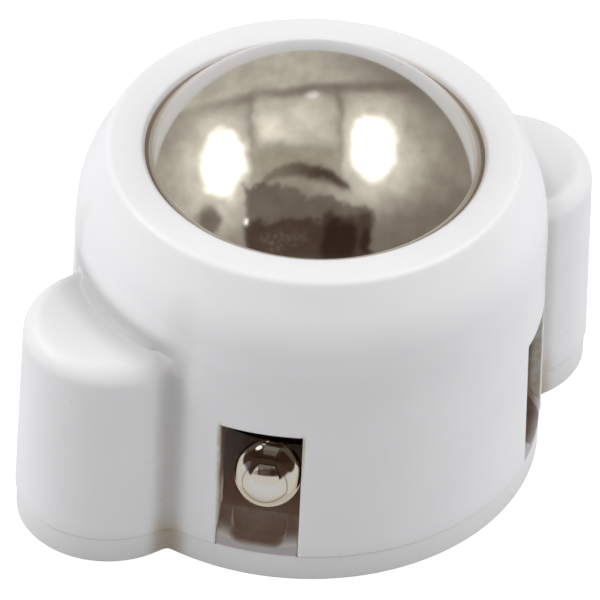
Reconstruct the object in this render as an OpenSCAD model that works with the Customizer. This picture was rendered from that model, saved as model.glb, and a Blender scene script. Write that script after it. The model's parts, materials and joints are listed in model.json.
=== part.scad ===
// Miniature ball transfer unit: a load ball that rolls on four small support balls,
// held in a moulded housing with two screw lugs and closed from below by a base plate.
// The origin is at the centre of the underside. X runs through both lugs, Z points up.

/* [Load ball] */
// Diameter of the load ball
ball_d = 12; // [11:0.1:12.6]
// Radial play of the load ball in its socket
ball_play = 0.07; // [0.05:0.01:0.12]
// Air between the load ball and the base plate
floor_gap = 0.2; // [0.05:0.05:0.5]

/* [Support balls] */
// Diameter of one support ball
support_d = 2; // [1.8:0.05:2.2]
// Distance of a support ball's centre from the vertical axis
support_reach = 5.45; // [5.3:0.05:5.6]
// Air between a support ball and the load ball
contact_gap = 0.02; // [0.01:0.01:0.05]
// Air between a support ball and its cup
cup_play = 0.04; // [0.03:0.01:0.1]
// Angle from the first lug to the first support ball, the rest follow every quarter turn
support_angle = 45; // [40:1:50]

/* [Housing] */
// Wall of the housing at its foot
wall_t = 1.03; // [0.95:0.01:1.2]
// Draft of the walls, which lean inwards as they rise
draft = 1.2; // [0:0.1:2]
// Diameter of the opening that holds the load ball in
opening_d = 10; // [9.8:0.05:10.2]
// Radius that rounds the edge of the opening
opening_edge_r = 0.15; // [0.1:0.05:0.25]
// Width of the flat rim round the opening
rim_w = 0.82; // [0.6:0.02:0.9]
// Radius that rounds the outer edge of the rim
rim_edge_r = 0.2; // [0.1:0.05:0.4]
// Slant of the shoulder below the rim, from upright
shoulder_slant = 26; // [23:1:30]
// Radius that blends the shoulder into the upright wall
shoulder_r = 3.5; // [2.5:0.1:4]

/* [Windows] */
// Width of the window in front of each support ball
window_w = 2.5; // [2.3:0.1:3]
// Height of a window above the base plate
window_h = 4.55; // [3.6:0.05:5.2]

/* [Lugs] */
// Distance between the centres of the two round lug ends
lug_pitch = 14; // [13.8:0.1:15]
// Width of a lug
lug_w = 5.4; // [5:0.1:6]
// Height of the lugs above the underside
lug_h = 7.25; // [5:0.05:8]
// Radius that rounds the top edge of a lug
lug_edge_r = 0.6; // [0.1:0.05:0.7]
// Radius of the upright fillets between a lug and the body
fillet_r = 0.5; // [0.3:0.05:0.7]
// Radius of the fillet between the top of a lug and the body
top_fillet_r = 0.4; // [0.2:0.05:0.6]

/* [Screw holes] */
// Distance of a screw hole beyond the centre of its lug end
hole_offset = 1; // [0.5:0.05:1.2]
// Diameter of the pilot hole for a thread-forming screw
pilot_d = 1.6; // [1.2:0.1:1.8]
// Depth of the pilot hole in the lug
pilot_depth = 5; // [3:0.1:5.4]
// Diameter of the clearance hole in the base plate
clearance_d = 2.2; // [2.1:0.1:2.6]

/* [Base plate] */
// Thickness of the base plate
plate_t = 0.9; // [0.7:0.05:1.5]
// Step of the base plate inside the outline of the housing
plate_inset = 0.05; // [0:0.05:0.3]
// Radius in the corners between the plate's round middle and its ends
plate_fillet_r = 0.2; // [0.1:0.05:0.5]
// Side play of a cup block in its window
block_play = 0.05; // [0.05:0.05:0.2]
// Depth of the cup that a support ball sits in
cup_depth = 0.4; // [0.35:0.05:0.65]
// Height of a cup block where it meets the outside
block_front_h = 0.3; // [0.3:0.05:0.7]
// Distance of a cup block's back from the vertical axis
block_back = 4.2; // [3.8:0.1:4.4]
// Thickness of the lip between a cup and the trough in front of it
cup_lip_t = 0.15; // [0.1:0.05:0.25]
// Width of the trough in the front of a cup block
trough_w = 1.65; // [1.2:0.05:1.8]
// Radius in the lower corners of the trough
trough_r = 0.35; // [0.1:0.05:0.5]
// Height of the trough's floor above the base plate
trough_floor = 0.25; // [0.05:0.05:0.25]
// Height of the ring that centres the base plate
spigot_h = 0.7; // [0.4:0.1:1]
// Thickness of the ring that centres the base plate
spigot_t = 0.6; // [0.4:0.1:0.8]
// Radial play of the centring ring in the housing
spigot_play = 0.08; // [0.05:0.01:0.2]

/* [Hidden] */
$fn = 96;
eps = 0.01;
support_count = 4;
ball_r = ball_d / 2;
support_r = support_d / 2;
socket_r = ball_r + ball_play;
body_r = socket_r + wall_t;
ball_z = plate_t + floor_gap + ball_r;
// The socket narrows to the opening at this height, and the rounded edge stands on it.
neck_z = ball_z + sqrt(pow(socket_r, 2) - pow(opening_d / 2, 2));
body_h = neck_z + opening_edge_r;
rim_r = opening_d / 2 + opening_edge_r + rim_w;
// Each support ball touches the load ball from below, but for the contact gap.
centre_gap = ball_r + support_r + contact_gap;
support_z = ball_z - sqrt(pow(centre_gap, 2) - pow(support_reach, 2));
lug_r = lug_w / 2;
plate_r = body_r - plate_inset;
spigot_r = socket_r - spigot_play;
block_w = window_w - 2 * block_play;
block_z = support_z - support_r + cup_depth;
cup_r = support_r + cup_play;
// The lip starts where the cup runs out through the top of its block.
lip_start = support_reach + sqrt(pow(cup_r, 2) - pow(support_z - block_z, 2));
lip_end = lip_start + cup_lip_t;
// Inset of the drafted walls at the tops of the lugs.
lug_top_draft = (lug_h - plate_t) * tan(draft);

// Radius at height z of a drafted wall that has this radius at its foot.
function drafted(foot_r, z) = foot_r - (z - plate_t) * tan(draft);

// Centre of an upright fillet of radius r: it touches the body and the side of a lug, both inset.
function corner(inset, r) =
    let (y = lug_r - inset + r)
    [sqrt(pow(body_r - inset + r, 2) - pow(y, 2)), y];

// Points on an arc, from angle a to angle b.
function arc(centre, r, a, b, steps = 12) = [
    for (i = [0:steps]) let (t = a + (b - a) * i / steps)
        centre + r * [cos(t), sin(t)]
];

// Outer section of the body: drafted wall, curved shoulder, slant, flat rim.
// The shoulder's centre lies shoulder_r inside the line of the wall and that of the slant.
module body_section() {
    wall_line = body_r * cos(draft) + plate_t * sin(draft) - shoulder_r;
    slant_line = rim_r * cos(shoulder_slant)
        + (body_h - rim_edge_r) * sin(shoulder_slant) + rim_edge_r - shoulder_r;
    shoulder = [
        wall_line * sin(shoulder_slant) - slant_line * sin(draft),
        slant_line * cos(draft) - wall_line * cos(shoulder_slant)
    ] / sin(shoulder_slant - draft);
    polygon(concat(
        [[0, plate_t], [body_r, plate_t]],
        arc(shoulder, shoulder_r, draft, shoulder_slant),
        arc([rim_r, body_h - rim_edge_r], rim_edge_r, shoulder_slant, 90),
        [[0, body_h]]
    ));
}

// Section of a lug: drafted sides and a flat top with rounded edges.
module lug_section(half) {
    r = lug_edge_r;
    edge_x = drafted(lug_r, lug_h - r) - r / cos(draft);
    polygon(concat(
        [[half ? 0 : -lug_r, plate_t], [lug_r, plate_t]],
        arc([edge_x, lug_h - r], r, draft, 90),
        half ? [[0, lug_h]] : arc([-edge_x, lug_h - r], r, 90, 180 - draft)
    ));
}

// One lug on the +X side: a round end and the straight part that runs into the body.
module lug() {
    translate([lug_pitch / 2, 0, 0])
        rotate([0, 0, -90])
            rotate_extrude(angle = 180)
                lug_section(true);
    rotate([90, 0, 90])
        linear_extrude(lug_pitch / 2)
            lug_section(false);
}

// Triangle that reaches from the axis to the centres of one lug's upright fillets.
module corner_plan(end, centre) {
    polygon([[0, 0], [end * centre.x, centre.y], [end * centre.x, -centre.y]]);
}

// Filleted corners between the lugs and the body, with the lugs' rounded top edge.
module lug_corners() {
    r = lug_edge_r;
    centre = corner(0, fillet_r);
    edge_x = fillet_r + (lug_h - r - plate_t) * tan(draft) + r / cos(draft);
    for (end = [-1, 1])
        difference() {
            translate([0, 0, plate_t])
                linear_extrude(lug_h - plate_t)
                    corner_plan(end, centre);
            for (side = [-1, 1])
                translate([end * centre.x, side * centre.y, 0])
                    rotate_extrude()
                        polygon(concat(
                            [[0, plate_t - eps], [fillet_r, plate_t - eps], [fillet_r, plate_t]],
                            arc([edge_x, lug_h - r], r, 180 - draft, 90),
                            [[edge_x, lug_h + eps], [0, lug_h + eps]]
                        ));
        }
}

// Plan of the whole unit, drawn in all round by inset, with corners of radius r.
module outline(inset, r) {
    centre = corner(inset, r);
    circle(body_r - inset);
    square([lug_pitch, lug_w - 2 * inset], center = true);
    for (end = [-1, 1]) {
        translate([end * lug_pitch / 2, 0])
            circle(lug_r - inset);
        difference() {
            corner_plan(end, centre);
            for (side = [-1, 1])
                translate([end * centre.x, side * centre.y])
                    circle(r);
        }
    }
}

// Fillet that runs round the body where it stands on the tops of the lugs.
module top_fillets() {
    r = top_fillet_r;
    wall_r = drafted(body_r, lug_h);
    top_inset = lug_top_draft + lug_edge_r;
    intersection() {
        translate([0, 0, lug_h - eps])
            rotate_extrude()
                difference() {
                    translate([wall_r - 2 * r * tan(draft), 0])
                        square(r + 2 * r * tan(draft));
                    translate([wall_r + r, r + eps])
                        circle(r);
                }
        translate([0, 0, lug_h - r])
            linear_extrude(3 * r)
                outline(top_inset, fillet_r + top_inset);
    }
}

// Space inside the housing: round above, straight below, with the opening on top.
module socket() {
    r = opening_edge_r;
    translate([0, 0, ball_z])
        sphere(socket_r);
    translate([0, 0, plate_t - eps])
        cylinder(r = socket_r, h = ball_z - plate_t + eps);
    rotate_extrude()
        polygon(concat(
            [[0, ball_z], [opening_d / 2, ball_z]],
            arc([opening_d / 2 + r, neck_z], r, 180, 90),
            [[opening_d / 2 + r, body_h + eps], [0, body_h + eps]]
        ));
}

// Turns its children to each of the support balls.
module at_supports() {
    for (i = [0:support_count - 1])
        rotate([0, 0, support_angle + i * 360 / support_count])
            children();
}

// Holes through the lugs or the plate, from height z upwards.
module screw_holes(d, z, depth) {
    for (side = [-1, 1])
        translate([side * (lug_pitch / 2 + hole_offset), 0, z - eps])
            cylinder(d = d, h = depth + (z > 0 ? eps : 2 * eps));
}

module windows() {
    at_supports()
        translate([support_reach / 2, -window_w / 2, plate_t - eps])
            cube([body_r, window_w, window_h + eps]);
}

module housing() {
    color("white")
    difference() {
        union() {
            rotate_extrude()
                body_section();
            for (turn = [0, 180])
                rotate([0, 0, turn])
                    lug();
            lug_corners();
            top_fillets();
        }
        socket();
        windows();
        screw_holes(pilot_d, plate_t, pilot_depth);
    }
}

// Block that fills the foot of a window, with the cup for a support ball
// and a trough that falls away in front of it.
module cup_block() {
    difference() {
        intersection() {
            rotate([90, 0, 0])
                linear_extrude(block_w, center = true)
                    polygon([
                        [block_back, plate_t - eps], [body_r, plate_t - eps],
                        [body_r, plate_t + block_front_h], [plate_r, plate_t + block_front_h],
                        [lip_end, block_z], [block_back, block_z]
                    ]);
            cylinder(r = plate_r, h = block_z + eps);
        }
        translate([support_reach, 0, support_z])
            sphere(cup_r);
        translate([lip_end, 0, plate_t + trough_floor])
            rotate([90, 0, 90])
                linear_extrude(body_r)
                    trough_section();
    }
}

// Section of the trough: a flat floor with rounded corners.
module trough_section() {
    side = trough_w / 2;
    polygon(concat(
        arc([trough_r - side, trough_r], trough_r, 180, 270),
        arc([side - trough_r, trough_r], trough_r, 270, 360),
        [[side, block_z], [-side, block_z]]
    ));
}

module base_plate() {
    color("gainsboro")
    difference() {
        union() {
            linear_extrude(plate_t)
                outline(plate_inset, plate_fillet_r);
            translate([0, 0, plate_t - eps])
                rotate_extrude()
                    translate([spigot_r - spigot_t, 0])
                        square([spigot_t, spigot_h + eps]);
            at_supports()
                cup_block();
        }
        screw_holes(clearance_d, 0, plate_t);
        at_supports()
            translate([support_reach, 0, support_z])
                sphere(cup_r);
    }
}

module main_ball() {
    color("silver")
    translate([0, 0, ball_z])
        sphere(ball_r);
}

module support_ball(i) {
    color("silver")
    rotate([0, 0, support_angle + i * 360 / support_count])
        translate([support_reach, 0, support_z])
            sphere(support_r);
}

base_plate();
housing();
main_ball();
support_ball(0);  // support_ball_back_right
support_ball(1);  // support_ball_back_left
support_ball(2);  // support_ball_front_left
support_ball(3);  // support_ball_front_right
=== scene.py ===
# Miniature ball transfer unit: steel load ball, four support balls, moulded housing, base plate.
import json
import math

import bpy
import numpy as np
from mathutils import Matrix, Vector
from mathutils.geometry import tessellate_polygon

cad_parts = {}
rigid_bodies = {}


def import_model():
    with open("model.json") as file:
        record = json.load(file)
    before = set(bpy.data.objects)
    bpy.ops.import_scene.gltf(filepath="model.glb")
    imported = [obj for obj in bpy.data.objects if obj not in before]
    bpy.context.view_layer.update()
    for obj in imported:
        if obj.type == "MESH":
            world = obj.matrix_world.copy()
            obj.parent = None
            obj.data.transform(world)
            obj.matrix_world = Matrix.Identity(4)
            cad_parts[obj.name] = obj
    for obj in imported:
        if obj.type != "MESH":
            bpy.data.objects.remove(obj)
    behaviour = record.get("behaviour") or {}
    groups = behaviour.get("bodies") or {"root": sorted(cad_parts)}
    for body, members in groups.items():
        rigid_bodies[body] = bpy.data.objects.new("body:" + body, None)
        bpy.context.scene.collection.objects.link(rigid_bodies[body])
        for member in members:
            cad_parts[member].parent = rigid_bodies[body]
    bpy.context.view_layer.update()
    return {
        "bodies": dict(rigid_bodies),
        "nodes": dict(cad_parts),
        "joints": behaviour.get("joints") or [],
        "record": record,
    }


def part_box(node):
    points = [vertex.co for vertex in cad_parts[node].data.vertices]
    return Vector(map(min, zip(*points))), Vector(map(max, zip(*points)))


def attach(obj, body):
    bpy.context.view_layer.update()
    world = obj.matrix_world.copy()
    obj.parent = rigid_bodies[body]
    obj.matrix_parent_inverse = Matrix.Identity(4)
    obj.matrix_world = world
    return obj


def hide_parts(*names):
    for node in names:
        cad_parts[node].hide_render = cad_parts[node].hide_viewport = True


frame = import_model()
mm = 0.001


# a node's lowest and highest corners in millimetres
def boxOf(node):
    return [np.round(np.array(corner) / mm, 4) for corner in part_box(node)]


housingLow, housingHigh = boxOf("housing")
ballMiddle = sum(boxOf("main_ball")) / 2
supportMiddle = sum(boxOf("support_ball_back_right")) / 2
print("frame loaded:", sorted(frame["nodes"]))


# a mesh object at the origin: vertices in millimetres times mm, and a list of faces
def addMesh(name, vertices, faces, creaseAngle=None):
    mesh = bpy.data.meshes.new(name)
    mesh.from_pydata((np.asarray(vertices, float) * mm).tolist(), [], faces)
    mesh.validate()
    mesh.shade_smooth()
    if creaseAngle is not None:
        mesh.set_sharp_from_angle(angle=math.radians(creaseAngle))
    piece = bpy.data.objects.new(name, mesh)
    bpy.context.scene.collection.objects.link(piece)
    return piece


# quads between neighbouring rows i and columns j: (i, j), (i, j + 1), (i + 1, j + 1), (i + 1, j)
def gridFaces(index):
    return np.stack([index[:-1, :-1], index[:-1, 1:], index[1:, 1:], index[1:, :-1]], -1).reshape(-1, 4)


# vertex numbers of a grid that closes on itself: row * columns + column, first column repeated at the end
def roundIndex(rows, columns):
    index = np.arange(rows * columns).reshape(rows, columns)
    return np.concatenate([index, index[:, :1]], 1)


# an arc in the (r, z) plane: centre + radius * (cos t, sin t), t from one angle in degrees to another
def arcPoints(centre, radius, start, end, steps):
    t = np.radians(np.linspace(start, end, steps + 1))
    return np.stack([centre[0] + radius * np.cos(t), centre[1] + radius * np.sin(t)], -1)


# a level circle: centre + radius * (cos t, sin t) at height z
def circlePoints(centre, radius, z, steps):
    t = np.linspace(0, 2 * np.pi, steps, endpoint=False)
    return np.stack([centre[0] + radius * np.cos(t), centre[1] + radius * np.sin(t), np.full(steps, z)], -1)


# rows of points round the axis: (r cos a, r sin a, z), one row for each radius and height
def loops(radius, height, angle):
    r = np.asarray(radius)[:, None]
    z = np.broadcast_to(np.asarray(height)[:, None], np.shape(angle))
    return np.stack([r * np.cos(angle), r * np.sin(angle), z], -1)


# rows in plan lifted into space: (x, y) of each row joined to that row's z
def lifted(rows, z):
    return np.concatenate([rows, np.broadcast_to(z[..., None], rows.shape[:2] + (1,))], -1)


# a smooth step from 0 to 1: 3 q squared - 2 q cubed
def smoothStep(q):
    return q * q * (3 - 2 * q)


# the outline that housing and base plate share, in millimetres and degrees
outlineShape = {
    "bodyRadius": 7.1,
    "lugEnd": housingHigh[0],
    "lugRadius": 2.7,
    "sideFillet": 0.5,
    "foot": housingLow[2],
    "draft": 1.2,
    "lugSpan": 26.3,
    "holeSteps": 48,
}


# how far the drafted walls lean in: height above the foot times the tangent of the draft
def draftInset(height, shape=outlineShape):
    return np.maximum(np.asarray(height) - shape["foot"], 0) * math.tan(math.radians(shape["draft"]))


# an angle folded into the first quarter: its distance from the nearer end of the X axis
def toQuarter(angle):
    return np.abs((np.asarray(angle) + np.pi / 2) % np.pi - np.pi / 2)


# distance from the axis to the outline at an angle a, alike in each quarter:
#   lug's round end     c cos a + sqrt(lug^2 - (c sin a)^2), c the lug's centre
#   lug's straight side lug / sin a
#   upright fillet      p - sqrt(p^2 - |k|^2 + fillet^2), k the fillet's centre and p = k . (cos a, sin a)
#   round body          body
def outlineRadius(angle, inset=0.0, fillet=None, shape=outlineShape):
    body, lug = shape["bodyRadius"] - inset, shape["lugRadius"] - inset
    centre = shape["lugEnd"] - shape["lugRadius"]
    fillet = shape["sideFillet"] + inset if fillet is None else fillet
    cornerY = lug + fillet
    cornerX = math.sqrt((body + fillet) ** 2 - cornerY ** 2)
    a = toQuarter(angle)
    r = np.full(a.shape, body)
    along = cornerX * np.cos(a) + cornerY * np.sin(a)
    gap = along ** 2 - (cornerX ** 2 + cornerY ** 2 - fillet ** 2)
    inFillet = (a > math.atan2(lug, cornerX)) & (a < math.atan2(cornerY, cornerX))
    r = np.where(inFillet, along - np.sqrt(np.maximum(gap, 0)), r)
    onSide = (a <= math.atan2(lug, cornerX)) & (a > math.atan2(lug, centre))
    r = np.where(onSide, lug / np.sin(np.maximum(a, 1e-6)), r)
    onEnd = a <= math.atan2(lug, centre)
    end = centre * np.cos(a) + np.sqrt(np.maximum(lug ** 2 - (centre * np.sin(a)) ** 2, 0))
    return np.where(onEnd, end, r)


# the outline as points r (cos a, sin a), and the outward normal (dy, -dx) from the neighbours' difference
def outlineLoop(angle, inset=0.0, fillet=None):
    r = outlineRadius(angle, inset, fillet)
    p = np.stack([r * np.cos(angle), r * np.sin(angle)], -1)
    t = np.roll(p, -1, 0) - np.roll(p, 1, 0)
    n = np.stack([t[:, 1], -t[:, 0]], -1)
    return p, n / np.linalg.norm(n, axis=1, keepdims=True)


# which mesh columns start a cell of a lug's flat end: this column and the next lie within lugSpan of X
def lugColumns(angle, shape=outlineShape):
    nearX = toQuarter(angle) < math.radians(shape["lugSpan"])
    return nearX & np.roll(nearX, -1)


# the loop round one lug's flat end: out along one row of vertices and back along another
def lugLoop(angle, place, there, back):
    cells = np.flatnonzero(lugColumns(angle) & (np.cos(angle) * place > 0))
    if place > 0:
        cells = np.roll(cells, -1 - np.argmax(np.diff(cells)))
    run = np.append(cells, (cells[-1] + 1) % len(angle))
    return np.concatenate([there[run], back[run[::-1]]])


# triangles of the flat area inside the first loop of points and outside the others
def filled(pointLoops):
    return np.array(tessellate_polygon([[Vector(p) for p in points] for points in pointLoops]))


# triangles that fill a level loop round one hole, a circle of the given radius;
# returns the vertices with the circle's added, the triangles and the circle's vertex numbers
def fillWithHole(vertices, loop, centre, radius, z):
    steps = outlineShape["holeSteps"]
    circle = circlePoints(centre, radius, z, steps)
    triangles = filled([vertices[loop], circle])
    circleNumbers = len(vertices) + np.arange(steps)
    return np.vstack([vertices, circle]), np.concatenate([loop, circleNumbers])[triangles], circleNumbers


# a level fill turned so that the sum of its triangles' normals points up (1) or down (-1)
def facing(vertices, triangles, up):
    p = vertices[triangles]
    z = np.cross(p[:, 1] - p[:, 0], p[:, 2] - p[:, 0])[:, 2].sum()
    return (triangles[:, ::-1] if z * up < 0 else triangles).tolist()


# a blind hole from its rim upwards: a wall to height z + depth and a fan that closes it there
def blindHole(vertices, rim, centre, radius, z, depth):
    first, steps = len(vertices), len(rim)
    vertices = np.vstack([vertices, circlePoints(centre, radius, z + depth, steps), [[*centre, z + depth]]])
    top = first + np.arange(steps)
    walls = np.stack([rim, top, np.roll(top, -1), np.roll(rim, -1)], -1)
    cap = np.stack([top, np.full(steps, first + steps), np.roll(top, -1)], -1)
    return vertices, walls.tolist() + cap.tolist()


windowShape = {
    "width": 2.5,
    "top": 5.45,
    "edgeRadius": 0.07,
    "firstAngle": 45.0,
}

# mesh columns of a quarter, in degrees: lug, gap, window, gap, front; the window's in millimetres
columnPlan = {
    "lugMiddle": 17.4,
    "lugEnd": 26.4,
    "lugSteps": (23, 55),
    "gapSteps": 6,
    "windowSteps": 15,
    "besideWindow": [0.4, 0.26, 0.16, 0.1, 0.07, 0.05, 0.032, 0.016, 0.005],
    "frontSteps": 22,
    "farAway": 9.0,
}


# angles of the mesh columns once round, outside and inside: a column at distance d beside a window's
# middle stands at 45 + asin(d / radius) degrees, so it runs straight through the wall. The third array
# is that distance for each column
def gradedColumns(outerRadius, innerRadius, shape=windowShape, plan=columnPlan):
    half, lugEnd, near = shape["width"] / 2, plan["lugEnd"], np.array(plan["besideWindow"])
    across = np.concatenate([-half - near, np.linspace(-half, half, plan["windowSteps"]), half + near[::-1]])
    lugPart = np.concatenate([np.linspace(0, plan["lugMiddle"], plan["lugSteps"][0])[:-1],
                              np.linspace(plan["lugMiddle"], lugEnd, plan["lugSteps"][1])])
    between = np.linspace(0, 1, plan["gapSteps"])[1:-1]

    def allRound(radius):
        window = shape["firstAngle"] + np.degrees(np.arcsin(across / radius))
        q = np.concatenate([lugPart, lugEnd + (window[0] - lugEnd) * between, window,
                            window[-1] + (90 - lugEnd - window[-1]) * between,
                            np.linspace(90 - lugEnd, 90, plan["frontSteps"])])
        turned = np.concatenate([q[:-1], (180 - q[::-1])[:-1], (180 + q)[:-1], (360 - q[::-1])[:-1]])
        return len(q), np.radians(turned)

    count, outer = allRound(outerRadius)
    inner = allRound(innerRadius)[1]
    side = np.full(count, plan["farAway"])
    first = len(lugPart) + len(between)
    side[first:first + len(across)] = across
    return outer, inner, np.tile(np.concatenate([side[:-1], side[::-1][:-1]]), 2)


housingShape = {
    "foot": housingLow[2],
    "footEdge": 0.07,
    "lugTop": 7.25,
    "lugEdge": 0.6,
    "topFillet": 0.4,
    "filletFade": 1.25,
    "openingRadius": 5.0,
    "openingEdge": 0.15,
    "rimWidth": 0.82,
    "rimEdge": 0.25,
    "slant": 26.0,
    "shoulderRadius": 3.5,
    "socketRadius": 6.07,
    "ballHeight": ballMiddle[2],
    "screwRadius": 0.8,
    "screwPlace": 8.0,
    "screwDepth": 5.0,
    "creaseAngle": 30,
}

# how finely the housing's rows are spaced
housingSteps = {
    "footEdge": 5,
    "window": 12,
    "aboveWindow": [0, 0.005, 0.016, 0.032, 0.05, 0.07, 0.12, 0.25],
    "belowLugEdge": 6,
    "lugShelf": 36,
    "shelfShares": (11, 12, 9, 6),
    "shelfEase": 0.12,
    "rise": 7,
    "shoulder": 14,
    "slant": 5,
    "rimEdge": 8,
    "rim": 6,
    "opening": 7,
    "socket": 16,
    "innerWall": 8,
}


# outer section of the round body above the lugs, and its inner section down to the ball's middle:
# shoulder arc, slant, rim edge, flat rim, opening edge, socket. The shoulder's centre lies its own
# radius inside both the line of the drafted wall and that of the slant, x cos t + z sin t = distance
def bodyProfile(s=housingShape, wall=outlineShape, steps=housingSteps):
    neck = s["ballHeight"] + math.sqrt(s["socketRadius"] ** 2 - s["openingRadius"] ** 2)
    top = neck + s["openingEdge"]
    edgeStart = s["openingRadius"] + s["openingEdge"]
    rim = edgeStart + s["rimWidth"]
    tilt, lean = math.radians(s["slant"]), math.radians(wall["draft"])
    slantOut = np.array([math.cos(tilt), math.sin(tilt)])
    slantTop = np.array([rim, top - s["rimEdge"]]) + s["rimEdge"] * slantOut
    wallLine = wall["bodyRadius"] * math.cos(lean) + wall["foot"] * math.sin(lean) - s["shoulderRadius"]
    slantLine = slantTop @ slantOut - s["shoulderRadius"]
    centre = np.array([wallLine * math.sin(tilt) - slantLine * math.sin(lean),
                       slantLine * math.cos(lean) - wallLine * math.cos(tilt)]) / math.sin(tilt - lean)
    shoulder = arcPoints(centre, s["shoulderRadius"], wall["draft"], s["slant"], steps["shoulder"])
    slant = shoulder[-1] + (slantTop - shoulder[-1]) * np.linspace(0, 1, steps["slant"])[1:-1, None]
    rimEdge = arcPoints((rim, top - s["rimEdge"]), s["rimEdge"], s["slant"], 90, steps["rimEdge"])
    flat = np.linspace((rim, top), (edgeStart, top), steps["rim"])[1:-1]
    opening = arcPoints((edgeStart, neck), s["openingEdge"], 90, 180, steps["opening"])
    start = math.degrees(math.acos(s["openingRadius"] / s["socketRadius"]))
    socket = arcPoints((0, s["ballHeight"]), s["socketRadius"], start, 0, steps["socket"])[1:]
    return np.vstack([shoulder, slant, rimEdge, flat, opening]), socket


# the wall's rows from the foot to where the lug's top edge starts to turn: outline - normal * inset.
# The inset is the draft, plus foot edge - foot edge * sin t round the foot, plus a lip round each
# window, lip - sqrt(lip^2 - (lip - d)^2) at a distance d from the opening
def wallRows(plan, out, side, s=housingShape, w=windowShape, steps=housingSteps):
    turn = np.radians(np.linspace(0, 90, steps["footEdge"]))
    footZ = s["foot"] + s["footEdge"] * (1 - np.cos(turn))
    above = w["top"] + np.array(steps["aboveWindow"])
    z = np.concatenate([footZ, np.linspace(footZ[-1], w["top"], steps["window"])[1:-1], above,
                        np.linspace(above[-1], s["lugTop"] - s["lugEdge"], steps["belowLugEdge"])[1:]])
    inset = draftInset(z)
    inset[:len(turn)] += s["footEdge"] * (1 - np.sin(turn))
    beside = np.maximum(np.abs(side) - w["width"] / 2, 0)
    d = np.hypot(beside[None, :], np.maximum(z[:, None] - w["top"], 0))
    lip = w["edgeRadius"]
    drop = np.where(d < lip, lip - np.sqrt(np.maximum(lip ** 2 - (lip - d) ** 2, 0)), 0)
    return lifted(plan[None] - out[None] * (inset[:, None] + drop)[..., None], z[:, None]), z


# the lug's top from the wall inwards, one row for each share q of its length: an edge arc of radius
# edge, a flat, a fillet and the body's wall. Where the arc meets the body at once, it is cut short
# at acos(1 - reach / edge). The fillet grows with the flat's length f as 1 - exp(-fade f)
def lugTopRows(plan, out, bodyRadius, s=housingShape, steps=housingSteps):
    edge, wallTop = s["lugEdge"], s["lugTop"] - s["lugEdge"]
    along = (plan * out).sum(1)
    reach = along - np.sqrt(np.maximum(along ** 2 - (plan ** 2).sum(1) + bodyRadius ** 2, 0))
    inset = np.clip(reach, 0, edge)
    last = np.arccos(np.clip(1 - inset / edge, -1, 1))
    landed = plan - out * inset[:, None]
    landedZ = wallTop + edge * np.sin(last)
    landedR = np.linalg.norm(landed, axis=1)
    fillet = s["topFillet"] * (1 - np.exp(-s["filletFade"] * np.maximum(landedR - bodyRadius, 0)))
    endZ = s["lugTop"] + s["topFillet"]
    lengths = np.stack([edge * last, landedR - bodyRadius - fillet, fillet * np.pi / 2,
                        endZ - landedZ - fillet])
    weights = np.array(steps["shelfShares"])[:, None] * lengths / (lengths + steps["shelfEase"])
    breaks = np.concatenate([np.zeros((1, len(plan))), np.cumsum(weights, 0) / weights.sum(0)])
    q = np.linspace(0, 1, steps["lugShelf"] + 1)[1:, None]
    arc, level, curve, upright = [
        np.clip((q - breaks[k]) / np.maximum(breaks[k + 1] - breaks[k], 1e-9), 0, 1) for k in range(4)]
    bend, sweep = arc * last, curve * np.pi / 2
    rows = plan - out * (edge * (1 - np.cos(bend)))[..., None]
    inward = landed / landedR[:, None]
    rows = rows - inward * (level * lengths[1] + fillet * np.sin(sweep))[..., None]
    z = wallTop + edge * np.sin(bend) + fillet * (1 - np.cos(sweep)) + upright * lengths[3]
    return np.concatenate([rows, z[..., None]], -1), np.arctan2(landed[:, 1], landed[:, 0]), endZ


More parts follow.
